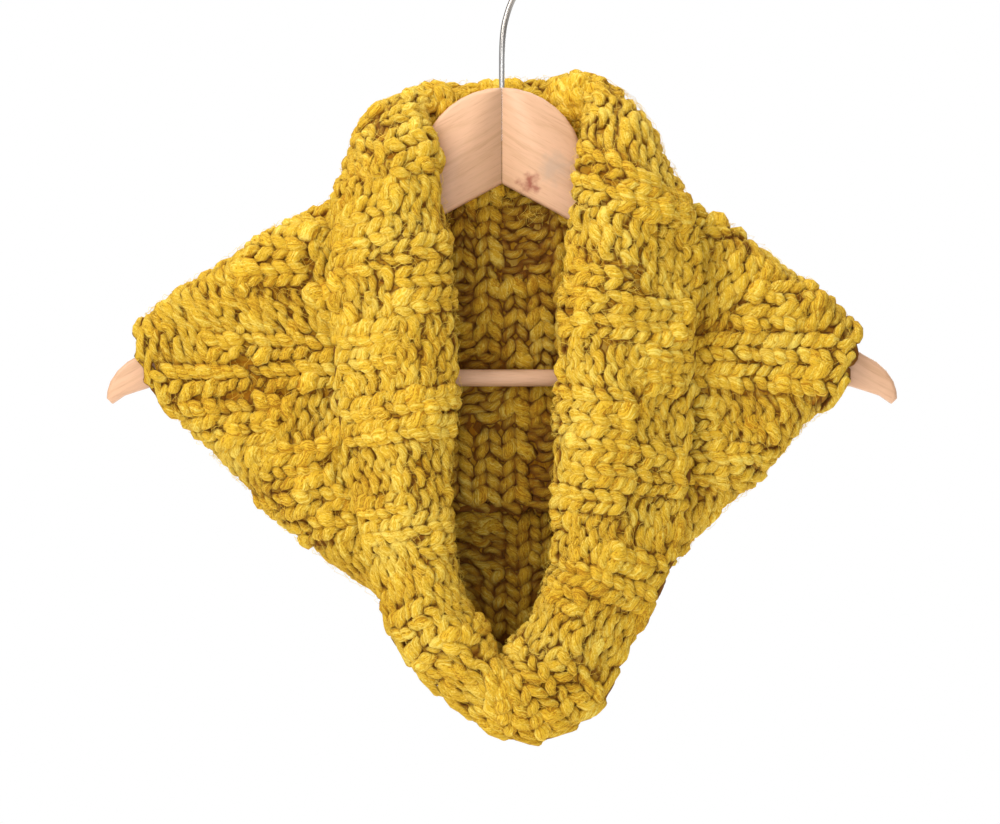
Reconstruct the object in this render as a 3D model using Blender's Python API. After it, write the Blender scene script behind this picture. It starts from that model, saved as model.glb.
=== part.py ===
"""Hand-knit cowl hung on a wooden clothes hanger.

Metres, +Z up, -Y to the front. The origin is the point inside the top of the hook where a rail bears.
The cowl is one knitted tube. It is drawn as wales, the lines of stitches that run from its neck edge to
its hem. They are counted round the tube from the middle of the back, to the left above zero and to the
right below it, and meet in the middle of the bottom.
"""

from collections import namedtuple
from math import cos, pi, radians, sin

import bmesh
import bpy
from mathutils import Vector

MM = 0.001

# Hook. The wood's own top is this far below the rail's bearing point
WIRE_DIAMETER = 3.4 * MM
BEND_RADIUS = 18.5 * MM
BEND_CENTRE_RISE = 73 * MM
BEND_START_ANGLE = -22
BEND_END_ANGLE = 205
BEND_STEPS = 16
WIRE_RINGS = 54
STEM_DEPTH = 30 * MM
STEM_CLEARANCE = 0.3 * MM
NECK_TOP = -(BEND_CENTRE_RISE + BEND_RADIUS - WIRE_DIAMETER / 2)

# Hanger
ARM_THICK = 13 * MM
ARM_BEVEL = 2.2 * MM
SEAM_GAP = 0.3 * MM
DOME_RADIUS = 46.5 * MM
DOME_STEPS = 9
BAR_DIAMETER = 9.5 * MM
BAR_DROP = 163.5 * MM
BAR_HALF_LENGTH = 199 * MM
SEAT_GAP = 0.3 * MM
BAR_SIDES = 20

# The wire's straight stem and leaning neck, in millimetres across from the seam and above the dome
Place = namedtuple("Place", "x z")
WIRE_NECK = (
    Place(0, -30),
    Place(0, -15),
    Place(0, 0),
    Place(0, 12),
    Place(0.1, 21),
    Place(0.6, 30),
    Place(1.9, 38),
    Place(5.6, 49),
    Place(11.6, 58.5),
)

# An arm's edge from the foot of the dome, out along its top and back underneath, in the same way
ARM_EDGE = (
    Place(48, -54),
    Place(55, -59.5),
    Place(97, -78),
    Place(145, -103.5),
    Place(176, -127.5),
    Place(190, -141),
    Place(203, -150),
    Place(211, -154.5),
    Place(216.5, -159.5),
    Place(220.5, -165.5),
    Place(222.2, -171),
    Place(222.5, -175),
    Place(219.5, -178),
    Place(213, -173.5),
    Place(207, -171.5),
    Place(196, -168),
    Place(114, -119.5),
    Place(32, -71),
    Place(0, -54),
)

# Knit
WALES_ROUND = 60
ROWS_ACROSS = 35
WALL = 8.4 * MM
STRETCH_GAP = 0.3 * MM
NEAR_WALE = 0.3
BAND_ROWS = 5
BLOCK_RAISE = 1.6 * MM
RIM_ROUND = 2.2 * MM

# The basket pattern: a line for each band of rows from the neck edge to the hem, and a letter for each
# wale from the right cut round to the left, k where the right side is knitted and p where it is purled
CHART = (
    "ppkkppppkkkppkkkkkppkkppkppkkkpppkkppkppkkppkkppkkppppkkppkk",
    "ppppkkpppkkppkkkppkkppkkpkkpppkkpppkkkppkkkppkkkppkkpkkppkkp",
    "kkppkkppkkppkkppkkpkkpppkkppkkppkkppkkppkkppkkppkkppkkppkkpp",
    "ppkkppkkppkkppkkpppkkpppppkkppkkppkkppkkppkkppkkppkkppkkppkk",
    "kkkkkkppppkkkkppkkppppkkkkppkkkkkkppkkppkkkkppkkkkppkkppkkpp",
    "kkppkkkkppkkppkkpppppkkpppkkpkkkppppkkkkppkkppkkkkkppkkkkkpp",
    "kkppkkppppkkkkppkkkkppppkkppkkkkpppppkkkppkkppkkkkkppkkpkkpp",
)

# How a wale turns over at the collar's crest and at its folds
SWELL_ALONG = 0.36
TUCK_ALONG = 0.14
FOLD_REACH = 0.8
LEAST_REACH = 6
MOST_REACH = 0.6
CURVE_STEPS = 14

# Steps of the wall's section from the neck edge to the crest, on to the fold, and on to the hem. Each
# span takes in some of the eight places that a wale runs through
Span = namedtuple("Span", "corners steps")
SPANS = (Span(2, 12), Span(3, 18), Span(2, 16))
CREST_STEP = SPANS[0].steps
STEPS_ACROSS = sum(span.steps for span in SPANS)

# The stretches of the loop, from one wale to another
Stretch = namedtuple("Stretch", "name first last")
STRETCHES = (
    Stretch("cowl_right", -21, -10),
    Stretch("cowl_back", -10, 10),
    Stretch("cowl_left", 10, 21),
    Stretch("cowl_bottom", 21, 39),
)

# Where a wale has its neck edge, its crest, its turn over a fold and its hem: places across, away from
# the seam, and below the top of the dome, in millimetres
Outline = namedtuple("Outline", "wale edge_x edge_z crest_x crest_z turn_x turn_z hem_x hem_z")
BACK_CENTRE = Outline(0.0, 0, -44, 0, 1, 0, -60, 0, -234)
LEFT = (
    Outline(2.4, 44, -42, 28, 1, 32, -61, 41, -231),
    Outline(5.0, 80, -44, 53, -4, 58, -49, 88, -210),
    Outline(6.4, 87, -51, 54, -15, 64, -53, 110, -197),
    Outline(8.0, 91, -62, 42, -33, 77, -59, 134, -183),
    Outline(10.9, 92.5, -94, 34, -80, 132, -86, 173, -157),
    Outline(12.9, 91, -120, 31, -110, 174, -112, 196, -141),
    Outline(14.0, 90, -135, 29, -125, 192, -125, 203, -133),
    Outline(14.9, 90, -147, 28, -138, 191, -136, 202, -143),
    Outline(16.0, 89, -162, 28, -154, 187, -156, 199, -157),
    Outline(16.7, 89, -171, 28, -162, 183.5, -168, 194.5, -168),
    Outline(17.3, 88, -180, 28, -171, 176, -182.5, 187, -178),
    Outline(20.3, 83, -221, 31, -213, 148, -217, 143, -184),
    Outline(23.4, 71, -264, 31, -254, 99, -262, 98, -191),
    Outline(26.3, 52, -318, 21, -290, 44, -302, 52, -194),
)
RIGHT = (
    Outline(2.4, 47, -40, 27, 4, 32, -61, 41, -231),
    Outline(5.0, 86, -42, 55, 1, 58, -49, 88, -210),
    Outline(6.4, 94, -50, 57, -11, 64, -52, 110, -197),
    Outline(8.0, 102, -66, 48, -33, 81, -59, 134, -183),
    Outline(10.9, 107, -94, 41, -80, 134, -86, 172, -157),
    Outline(12.9, 106, -120, 37, -110, 168, -110, 189, -141),
    Outline(14.0, 105, -135, 36, -125, 184, -122, 196, -133),
    Outline(14.9, 105, -147, 35, -138, 184, -135, 196, -143),
    Outline(16.0, 104, -162, 35, -154, 181, -156, 192, -157),
    Outline(16.7, 104, -171, 34, -162, 178.5, -168, 189, -168),
    Outline(17.3, 103, -180, 34, -171, 172, -182.5, 183, -178),
    Outline(20.3, 100, -221, 32, -213, 144, -215, 139, -184),
    Outline(23.4, 90, -269, 32, -254, 98, -260, 98, -191),
    Outline(26.3, 63, -321, 24, -290, 50, -306, 52, -194),
    Outline(27.8, 50, -347, 12, -307, 33, -325, 32, -195),
)
BOTTOM = Outline(30.0, 10, -363, -1, -322, 4, -353, 0, -196)

# How far behind the hanger's middle those places are, in millimetres, how thick the collar is rolled,
# and the way the roll faces in degrees, where 90 is to the back, 180 to the left and 270 to the front
Depth = namedtuple("Depth", "wale edge_y crest_y roll faces lay_y hem_y")
DEPTHS = (
    Depth(0.0, 38, 27, 25, 90, 14, 14),
    Depth(2.4, 35, 26, 25, 112, 13.5, 14),
    Depth(5.0, 12, 8, 19, 175, 12, 14),
    Depth(6.4, -6, -11, 21, 215, 0, 14),
    Depth(8.0, -25, -27, 25, 250, -8.5, 13.5),
    Depth(10.9, -27, -32, 27, 268, -13, 13.5),
    Depth(12.9, -27, -32, 27, 270, -13, 13.5),
    Depth(14.0, -27, -32, 27, 270, -14, 2),
    Depth(14.9, -27, -32, 27, 270, -14, -12),
    Depth(16.0, -27, -32, 27, 270, -14, -14),
    Depth(16.7, -27, -32, 27, 270, -14, -14),
    Depth(17.3, -27, -32, 27, 270, -14, -1),
    Depth(20.3, -28, -32, 27, 270, -15, 27),
    Depth(23.4, -30, -33, 26, 270, -17, 27),
    Depth(26.3, -33, -34, 25, 270, -18, 26),
    Depth(30.0, -36, -35, 24, 270, -18, 24),
)


def flip(row):
    """A row with its places on the other side of the seam."""
    changed = {name: -getattr(row, name) for name in row._fields if name.endswith("_x")}
    return row._replace(**changed)


def round_the_loop(rows, turn):
    """Rows in order round the loop, with one more beyond each end, moved on by a whole turn."""
    turned = {name: getattr(rows[1], name) + step for name, step in turn.items()}
    back = {name: getattr(rows[-2], name) - step for name, step in turn.items()}
    return [rows[-2]._replace(**back)] + list(rows) + [rows[1]._replace(**turned)]


def outline_rows():
    """The outline's rows from the bottom up the right side, over the back and down the left side."""
    left = [flip(row) for row in LEFT]
    right = [row._replace(wale=-row.wale) for row in reversed(RIGHT)]
    rows = [BOTTOM._replace(wale=-BOTTOM.wale)] + right + [BACK_CENTRE] + left + [BOTTOM]
    return round_the_loop(rows, {"wale": WALES_ROUND})


def depth_rows():
    """The depths' rows in the same order, the same on both sides."""
    right = [row._replace(wale=-row.wale, faces=180 - row.faces) for row in reversed(DEPTHS[1:])]
    return round_the_loop(right + list(DEPTHS), {"wale": WALES_ROUND, "faces": 360})


def read_between(rows, wale):
    """A table's columns at any wale, on smooth curves through its rows."""
    index = 1
    while index < len(rows) - 3 and wale > rows[index + 1].wale:
        index += 1
    before, start, end, after = rows[index - 1 : index + 3]
    span = end.wale - start.wale
    t = (wale - start.wale) / span
    values = []
    for a, b, c, d in list(zip(before, start, end, after))[1:]:
        leaving = (c - a) / (end.wale - before.wale) * span
        arriving = (d - b) / (after.wale - start.wale) * span
        values.append(
            b
            + (c - b) * t * t * (3 - 2 * t)
            + leaving * t * (1 - t) ** 2
            - arriving * t * t * (1 - t)
        )
    return values


OUTLINE_ROWS = outline_rows()
DEPTH_ROWS = depth_rows()


def wale_corners(wale):
    """The eight places that a wale runs through, from the neck edge to the hem, in millimetres."""
    if wale > WALES_ROUND / 2:
        wale -= WALES_ROUND
    edge_x, edge_z, crest_x, crest_z, turn_x, turn_z, hem_x, hem_z = read_between(OUTLINE_ROWS, wale)
    edge_y, crest_y, roll, faces, lay_y, hem_y = read_between(DEPTH_ROWS, wale)
    outward = Vector((cos(radians(faces)), sin(radians(faces)), 0)) * roll / 2
    edge = Vector((edge_x, edge_y, edge_z))
    crest = Vector((crest_x, crest_y, crest_z))
    turn = Vector((turn_x, (lay_y + hem_y) / 2, turn_z))
    hem = Vector((hem_x, hem_y, hem_z))

    swell = crest.lerp(edge, SWELL_ALONG) + outward
    swell.y = crest.y + outward.y
    tuck = crest.lerp(turn, TUCK_ALONG) - outward
    tuck.y = crest.y - outward.y

    reach = max(abs(hem_y - lay_y) / 2 * FOLD_REACH, LEAST_REACH)
    arriving = Vector((tuck.x - turn.x, 0, tuck.z - turn.z))
    leaving = Vector((hem.x - turn.x, 0, hem.z - turn.z))
    reach_in = min(reach, arriving.length * MOST_REACH)
    reach_out = min(reach, leaving.length * MOST_REACH)
    before = turn + arriving.normalized() * reach_in
    before.y = lay_y
    after = turn + leaving.normalized() * reach_out
    after.y = hem_y
    return [edge, swell, crest, tuck, before, turn, after, hem]


def smooth_line(corners):
    """Close points on a smooth line through the corners."""
    padded = [corners[0] * 2 - corners[1]] + corners + [corners[-1] * 2 - corners[-2]]
    points = []
    for before, start, end, after in zip(padded, padded[1:], padded[2:], padded[3:]):
        span = (end - start).length
        leaving = (end - before) / ((start - before).length + span) * span
        arriving = (after - start) / ((after - end).length + span) * span
        for step in range(CURVE_STEPS):
            t = step / CURVE_STEPS
            points.append(
                start
                + (end - start) * t * t * (3 - 2 * t)
                + leaving * t * (1 - t) ** 2
                - arriving * t * t * (1 - t)
            )
    points.append(corners[-1])
    return points


def even_points(line, count):
    """Points at even spacing along a line, with its ends kept."""
    lengths = [0.0]
    for a, b in zip(line, line[1:]):
        lengths.append(lengths[-1] + (b - a).length)
    points = []
    index = 0
    for step in range(count + 1):
        target = lengths[-1] * step / count
        while index < len(line) - 2 and lengths[index + 1] < target:
            index += 1
        share = (target - lengths[index]) / (lengths[index + 1] - lengths[index])
        points.append(line[index].lerp(line[index + 1], min(share, 1.0)))
    return points


def wale_points(wale):
    """The middle of the wall along a wale, with the crest and the fold always at the same steps, in metres."""
    top = Vector((0, 0, NECK_TOP))
    line = smooth_line(wale_corners(wale))
    points = [line[0]]
    start = 0
    for span in SPANS:
        end = start + span.corners * CURVE_STEPS
        points += even_points(line[start : end + 1], span.steps)[1:]
        start = end
    return [point * MM + top for point in points]


def row_counts(line):
    """How many rows of stitches there are from the neck edge to each point of a wale."""
    lengths = [0.0]
    for a, b in zip(line, line[1:]):
        lengths.append(lengths[-1] + (b - a).length)
    return [length / lengths[-1] * ROWS_ACROSS for length in lengths]


def stitch_side(column, band):
    """1 where the chart has a stitch knitted on the cowl's right side, and -1 where it is purled."""
    return 1 if CHART[band][column % WALES_ROUND] == "k" else -1


def block_raise(column, row):
    """How far the basket blocks stand out on the cowl's right side, at most 1, and -1 on its wrong side."""
    band = min(int(row / BAND_ROWS), len(CHART) - 1)
    beside = stitch_side(column - 1, band) + stitch_side(column, band)
    return beside / 2 * sin(pi * (row % BAND_ROWS) / BAND_ROWS)


def way_along(line, step):
    """The way a wale runs past one of its points, taken over at least the wall's own thickness."""
    low = high = step
    while (line[high] - line[low]).length < WALL:
        low = max(low - 1, 0)
        high = min(high + 1, STEPS_ACROSS)
    return line[high] - line[low]


def wall_ring(wale, column, shift):
    """Points round the wall's section along one wale: down the right side, round the hem and back."""
    to_left = wale_points(wale + NEAR_WALE)
    to_right = wale_points(wale - NEAR_WALE)
    level = [(left - right).normalized() for left, right in zip(to_left, to_right)]
    line = wale_points(wale)
    rows = row_counts(line)
    right_side, wrong_side = [], []
    for step, point in enumerate(line):
        along = way_along(line, step)
        normal = along.cross(level[step]).normalized()
        point = point + normal.cross(along).normalized() * shift
        lift = block_raise(column, rows[step]) * BLOCK_RAISE
        on_flap = step < CREST_STEP
        right_side.append(point + normal * (WALL / 2 + (0 if on_flap else max(lift, 0))))
        wrong_side.append(point - normal * (WALL / 2 + (max(-lift, 0) if on_flap else 0)))
    edge_rim = (right_side[0] + wrong_side[0]) / 2 + (line[0] - line[1]).normalized() * RIM_ROUND
    hem_rim = (right_side[-1] + wrong_side[-1]) / 2 + (line[-1] - line[-2]).normalized() * RIM_ROUND
    return right_side + [hem_rim] + wrong_side[::-1] + [edge_rim]


def fold_diagonals(wale):
    """For each step between a wale and the next, whether the face's diagonal that leads on keeps the form."""
    here, middle, following = wale_points(wale), wale_points(wale + 0.5), wale_points(wale + 1)
    leads_on = []
    for step in range(STEPS_ACROSS):
        form = (middle[step] + middle[step + 1]) / 2
        onward = (here[step] + following[step + 1]) / 2
        backward = (here[step + 1] + following[step]) / 2
        leads_on.append((onward - form).length <= (backward - form).length)
    return leads_on


def join_rings(bm, ring, following, leads_on):
    """Faces between two neighbouring rings, with the diagonals laid along the folds."""
    around = len(ring)
    for index in range(around):
        other = (index + 1) % around
        step = min(index, around - 3 - index) if index < around - 1 else 0
        on_wrong_side = index > STEPS_ACROSS
        onward = leads_on[max(min(step, STEPS_ACROSS - 1), 0)]
        if onward != on_wrong_side:
            bm.faces.new((ring[index], ring[other], following[other]))
            bm.faces.new((ring[index], following[other], following[index]))
        else:
            bm.faces.new((ring[index], ring[other], following[index]))
            bm.faces.new((ring[other], following[other], following[index]))


def material(name, colour, roughness, metallic=0.0):
    """A plain surface of one colour."""
    made = bpy.data.materials.new(name)
    made.use_nodes = True
    shader = made.node_tree.nodes["Principled BSDF"]
    shader.inputs["Base Color"].default_value = (*colour, 1.0)
    shader.inputs["Roughness"].default_value = roughness
    shader.inputs["Metallic"].default_value = metallic
    return made


def add_object(name, mesh, surface):
    """Put a mesh in the scene under its name."""
    mesh.materials.append(surface)
    made = bpy.data.objects.new(name, mesh)
    bpy.context.collection.objects.link(made)
    return made


def mesh_from(name, bm):
    """Turn a closed shape into a mesh whose faces point out."""
    bmesh.ops.recalc_face_normals(bm, faces=bm.faces)
    mesh = bpy.data.meshes.new(name)
    bm.to_mesh(mesh)
    bm.free()
    return mesh


def cowl_stretch(stretch, wool):
    """One stretch of the knitted wall, between two wales, closed at its cut ends."""
    count = stretch.last - stretch.first
    bm = bmesh.new()
    rings = []
    for step in range(count + 1):
        wale = stretch.first + step
        column = wale - STRETCHES[0].first
        shift = STRETCH_GAP / 2 * ((step == 0) - (step == count))
        rings.append([bm.verts.new(point) for point in wall_ring(wale, column, shift)])
    around = len(rings[0])
    for step, (ring, following) in enumerate(zip(rings, rings[1:])):
        join_rings(bm, ring, following, fold_diagonals(stretch.first + step))
    for ring in (rings[0], rings[-1]):
        bm.faces.new((ring[0], ring[around - 2], ring[around - 1]))
        for index in range(STEPS_ACROSS):
            opposite = around - 2 - index
            bm.faces.new((ring[index], ring[index + 1], ring[opposite]))
            bm.faces.new((ring[index + 1], ring[opposite - 1], ring[opposite]))
        bm.faces.new((ring[STEPS_ACROSS], ring[STEPS_ACROSS + 1], ring[STEPS_ACROSS + 2]))
    made = add_object(stretch.name, mesh_from(stretch.name, bm), wool)
    made.data.shade_smooth()
    return made


def arm_outline():
    """Outline of half of the wood, from the top of the dome out to the tip and back to the notch."""
    points = []
    for step in range(DOME_STEPS + 1):
        angle = pi / 2 * (1 - step / DOME_STEPS)
        points.append((DOME_RADIUS * cos(angle), DOME_RADIUS * (sin(angle) - 1)))
    points += [(place.x * MM, place.z * MM) for place in ARM_EDGE]
    return [(max(x, SEAM_GAP / 2), z + NECK_TOP) for x, z in points]


def cutter(name, radius, length, location, direction):
    """A round hole's cutter, which isn't part of the hanger."""
    bm = bmesh.new()
    bmesh.ops.create_cone(
        bm, cap_ends=True, segments=BAR_SIDES, radius1=radius, radius2=radius, depth=length
    )
    mesh = mesh_from(name, bm)
    made = bpy.data.objects.new(name, mesh)
    bpy.context.collection.objects.link(made)
    made.location = location
    made.rotation_mode = "QUATERNION"
    made.rotation_quaternion = Vector(direction).to_track_quat("Z", "Y")
    made.hide_render = True
    made.display_type = "WIRE"
    return made


def hanger_half(name, side, holes, wood):
    """Half of the shaped wood, bevelled, with the holes for the bar and the hook."""
    bm = bmesh.new()
    loop = [bm.verts.new((side * x, -ARM_THICK / 2, z)) for x, z in arm_outline()]
    face = bm.faces.new(loop)
    extruded = bmesh.ops.extrude_face_region(bm, geom=[face])
    moved = [item for item in extruded["geom"] if isinstance(item, bmesh.types.BMVert)]
    bmesh.ops.translate(bm, verts=moved, vec=(0, ARM_THICK, 0))
    seam = SEAM_GAP / 2 + 0.01 * MM
    rims = [
        edge
        for edge in bm.edges
        if abs(edge.verts[0].co.y - edge.verts[1].co.y) < MM
        and not all(abs(vert.co.x) < seam for vert in edge.verts)
    ]
    bmesh.ops.bevel(bm, geom=rims, offset=ARM_BEVEL, segments=2, profile=0.5, affect="EDGES")
    made = add_object(name, mesh_from(name, bm), wood)
    for hole in holes:
        cut = made.modifiers.new("hole", "BOOLEAN")
        cut.operation = "DIFFERENCE"
        cut.object = hole
    made.data.shade_smooth()
    made.data.set_sharp_from_angle(angle=radians(35))
    return made


def trouser_bar(wood):
    """The round bar whose ends are in the arms."""
    bm = bmesh.new()
    bmesh.ops.create_cone(
        bm,
        cap_ends=True,
        segments=BAR_SIDES,
        radius1=BAR_DIAMETER / 2,
        radius2=BAR_DIAMETER / 2,
        depth=2 * BAR_HALF_LENGTH,
    )
    made = add_object("hanger_bar", mesh_from("hanger_bar", bm), wood)
    made.location = (0, 0, NECK_TOP - BAR_DROP)
    made.rotation_euler = (0, pi / 2, 0)
    made.data.shade_smooth()
    made.data.set_sharp_from_angle(angle=radians(40))
    return made


def hook_route():
    """Middle of the wire, from inside the wood up the leaning neck and round the bend, in millimetres."""
    route = [Vector((place.x, 0, place.z + NECK_TOP / MM)) for place in WIRE_NECK]
    radius = BEND_RADIUS / MM
    centre = (WIRE_DIAMETER / 2 - BEND_RADIUS) / MM
    for step in range(BEND_STEPS + 1):
        angle = radians(BEND_START_ANGLE + (BEND_END_ANGLE - BEND_START_ANGLE) * step / BEND_STEPS)
        route.append(Vector((radius * cos(angle), 0, centre + radius * sin(angle))))
    return route


def hook(chrome):
    """The bent wire that hangs on a rail."""
    curve = bpy.data.curves.new("hook", "CURVE")
    curve.dimensions = "3D"
    line = even_points(smooth_line(hook_route()), WIRE_RINGS)
    spline = curve.splines.new("POLY")
    spline.points.add(len(line) - 1)
    for place, point in zip(spline.points, line):
        place.co = (*(point * MM), 1)
    curve.bevel_depth = WIRE_DIAMETER / 2
    curve.bevel_resolution = 2
    curve.use_fill_caps = True
    made = bpy.data.objects.new("hook", curve)
    bpy.context.collection.objects.link(made)
    curve.materials.append(chrome)
    return made


def main():
    for item in list(bpy.data.objects):
        bpy.data.objects.remove(item)
    wool = material("wool", (0.70, 0.46, 0.04), 0.95)
    wood = material("wood", (0.72, 0.47, 0.31), 0.55)
    chrome = material("chrome", (0.75, 0.75, 0.77), 0.18, 1.0)

    bar_at = (0, 0, NECK_TOP - BAR_DROP)
    bar_hole = cutter(
        "bar_hole", BAR_DIAMETER / 2 + SEAT_GAP, 2 * (BAR_HALF_LENGTH + SEAT_GAP), bar_at, (1, 0, 0)
    )
    stem_hole = cutter(
        "stem_hole",
        WIRE_DIAMETER / 2 + STEM_CLEARANCE,
        2 * (STEM_DEPTH + STEM_CLEARANCE),
        (0, 0, NECK_TOP),
        (0, 0, 1),
    )
    hanger_half("hanger_left", -1, (bar_hole, stem_hole), wood)
    hanger_half("hanger_right", 1, (bar_hole, stem_hole), wood)
    trouser_bar(wood)
    hook(chrome)
    for stretch in STRETCHES:
        cowl_stretch(stretch, wool)


main()
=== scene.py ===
"""Looks of the hand-knit cowl on its wooden clothes hanger: the yarn, the wood and the wire."""

from collections import namedtuple
from math import atan, cos, pi, radians, sin

import bpy
import numpy as np
from bpy.props import FloatProperty, FloatVectorProperty, IntProperty, PointerProperty
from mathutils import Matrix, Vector


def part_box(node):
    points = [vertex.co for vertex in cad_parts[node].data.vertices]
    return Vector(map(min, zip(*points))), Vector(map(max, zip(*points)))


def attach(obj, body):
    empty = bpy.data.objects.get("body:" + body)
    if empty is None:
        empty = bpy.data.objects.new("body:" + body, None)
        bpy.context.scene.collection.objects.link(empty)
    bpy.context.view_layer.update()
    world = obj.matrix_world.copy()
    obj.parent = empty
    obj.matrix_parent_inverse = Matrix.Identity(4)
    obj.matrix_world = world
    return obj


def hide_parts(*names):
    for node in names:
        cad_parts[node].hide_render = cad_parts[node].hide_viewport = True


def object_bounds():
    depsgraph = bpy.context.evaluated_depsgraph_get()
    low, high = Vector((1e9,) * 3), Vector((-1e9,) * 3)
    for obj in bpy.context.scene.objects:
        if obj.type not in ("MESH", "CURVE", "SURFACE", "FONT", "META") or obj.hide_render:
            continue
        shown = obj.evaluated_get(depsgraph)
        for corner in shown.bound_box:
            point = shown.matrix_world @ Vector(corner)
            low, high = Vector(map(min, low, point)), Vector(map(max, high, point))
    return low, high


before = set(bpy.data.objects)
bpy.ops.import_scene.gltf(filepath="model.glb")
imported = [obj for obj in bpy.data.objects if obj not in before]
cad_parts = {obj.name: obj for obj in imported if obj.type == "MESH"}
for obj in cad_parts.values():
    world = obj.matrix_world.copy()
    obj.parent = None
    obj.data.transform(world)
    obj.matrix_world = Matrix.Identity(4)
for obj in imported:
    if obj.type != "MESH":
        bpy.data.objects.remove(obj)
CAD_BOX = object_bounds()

bl_info = {
    "name": "Knitted cowl on a hanger",
    "version": (1, 0, 0),
    "blender": (4, 5, 0),
    "location": "View3D > Sidebar > Cowl",
    "description": "Knits the cowl loop by loop over its hanger and sets the stage for its picture",
    "category": "Object",
}

MM = 0.001

# The height of the top of the wooden dome, below the hook's bearing point at 0
DOME_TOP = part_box("hanger_left")[1].z

# The knitted tube: stitches round it, rows from the neck edge to the hem, and how finely its form is
# worked out
WALES = 60
ROWS = 35
FINE = 4

# The basket pattern: a line for each band of rows from the neck edge to the hem, and a letter for each
# wale from the right cut round to the left, k where the right side is knitted and p where it is purled
BAND_ROWS = 5
FIRST_WALE = -21
CHART = (
    "ppkkppppkkkppkkkkkppkkppkppkkkpppkkppkppkkppkkppkkppppkkppkk",
    "ppppkkpppkkppkkkppkkppkkpkkpppkkpppkkkppkkkppkkkppkkpkkppkkp",
    "kkppkkppkkppkkppkkpkkpppkkppkkppkkppkkppkkppkkppkkppkkppkkpp",
    "ppkkppkkppkkppkkpppkkpppppkkppkkppkkppkkppkkppkkppkkppkkppkk",
    "kkkkkkppppkkkkppkkppppkkkkppkkkkkkppkkppkkkkppkkkkppkkppkkpp",
    "kkppkkkkppkkppkkpppppkkpppkkpkkkppppkkkkppkkppkkkkkppkkkkkpp",
    "kkppkkppppkkkkppkkkkppppkkppkkkkpppppkkkppkkppkkkkkppkkpkkpp",
)

# The wire's straight stem and leaning neck, in millimetres across from the seam and above the dome, and
# the bend that it runs into: its radius, its angles in degrees, and its steps
Place = namedtuple("Place", "x z")
WIRE_NECK = (
    Place(0, -30),
    Place(0, -15),
    Place(0, 0),
    Place(0, 12),
    Place(0.1, 21),
    Place(0.6, 30),
    Place(1.9, 38),
    Place(5.6, 49),
    Place(11.6, 58.5),
)
BEND_RADIUS = 18.5 * MM
BEND_START = -22
BEND_END = 205
BEND_STEPS = 16
WIRE_STEPS = 160

# How a wale turns over: where the collar swells and where it tucks in, as shares of the way from its
# crest, how far the turn at a fold reaches, as a share of the fold's depth, in millimetres at least and
# as a share of the way at most, and the steps of the line between two places
SWELL_ALONG = 0.36
TUCK_ALONG = 0.14
FOLD_REACH = 0.8
LEAST_REACH = 6
MOST_REACH = 0.6
CURVE_STEPS = 14

# The stretches of the loop, from one wale to another
Stretch = namedtuple("Stretch", "name node first last")
STRETCHES = (
    Stretch("knit_right", "cowl_right", -21, -10),
    Stretch("knit_back", "cowl_back", -10, 10),
    Stretch("knit_left", "cowl_left", 10, 21),
    Stretch("knit_bottom", "cowl_bottom", 21, 39),
)

# Where a wale has its neck edge, its crest, its turn over a fold and its hem: places across, away from
# the seam, and below the top of the dome, in millimetres
Outline = namedtuple("Outline", "wale edge_x edge_z crest_x crest_z turn_x turn_z hem_x hem_z")
BACK_CENTRE = Outline(0.0, 0, -44, 0, 1, 0, -60, 0, -234)
LEFT = (
    Outline(2.4, 44, -42, 28, 1, 32, -61, 41, -231),
    Outline(5.0, 80, -44, 53, -4, 58, -49, 88, -210),
    Outline(6.4, 87, -51, 54, -15, 64, -53, 110, -197),
    Outline(8.0, 91, -62, 42, -33, 77, -59, 134, -183),
    Outline(10.9, 92.5, -94, 34, -80, 132, -86, 173, -157),
    Outline(12.9, 91, -120, 31, -110, 174, -112, 196, -141),
    Outline(14.0, 90, -135, 29, -125, 192, -125, 203, -133),
    Outline(14.9, 90, -147, 28, -138, 191, -136, 202, -143),
    Outline(16.0, 89, -162, 28, -154, 187, -156, 199, -157),
    Outline(16.7, 89, -171, 28, -162, 183.5, -168, 194.5, -168),
    Outline(17.3, 88, -180, 28, -171, 176, -182.5, 187, -178),
    Outline(20.3, 83, -221, 31, -213, 148, -217, 143, -184),
    Outline(23.4, 71, -264, 31, -254, 99, -262, 98, -191),
    Outline(26.3, 52, -318, 21, -290, 44, -302, 52, -194),
)
RIGHT = (
    Outline(2.4, 47, -40, 27, 4, 32, -61, 41, -231),
    Outline(5.0, 86, -42, 55, 1, 58, -49, 88, -210),
    Outline(6.4, 94, -50, 57, -11, 64, -52, 110, -197),
    Outline(8.0, 102, -66, 48, -33, 81, -59, 134, -183),
    Outline(10.9, 107, -94, 41, -80, 134, -86, 172, -157),
    Outline(12.9, 106, -120, 37, -110, 168, -110, 189, -141),
    Outline(14.0, 105, -135, 36, -125, 184, -122, 196, -133),
    Outline(14.9, 105, -147, 35, -138, 184, -135, 196, -143),
    Outline(16.0, 104, -162, 35, -154, 181, -156, 192, -157),
    Outline(16.7, 104, -171, 34, -162, 178.5, -168, 189, -168),
    Outline(17.3, 103, -180, 34, -171, 172, -182.5, 183, -178),
    Outline(20.3, 100, -221, 32, -213, 144, -215, 139, -184),
    Outline(23.4, 90, -269, 32, -254, 98, -260, 98, -191),
    Outline(26.3, 63, -321, 24, -290, 50, -306, 52, -194),
    Outline(27.8, 50, -347, 12, -307, 33, -325, 32, -195),
)
BOTTOM = Outline(30.0, 10, -363, -1, -322, 4, -353, 0, -196)

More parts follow.
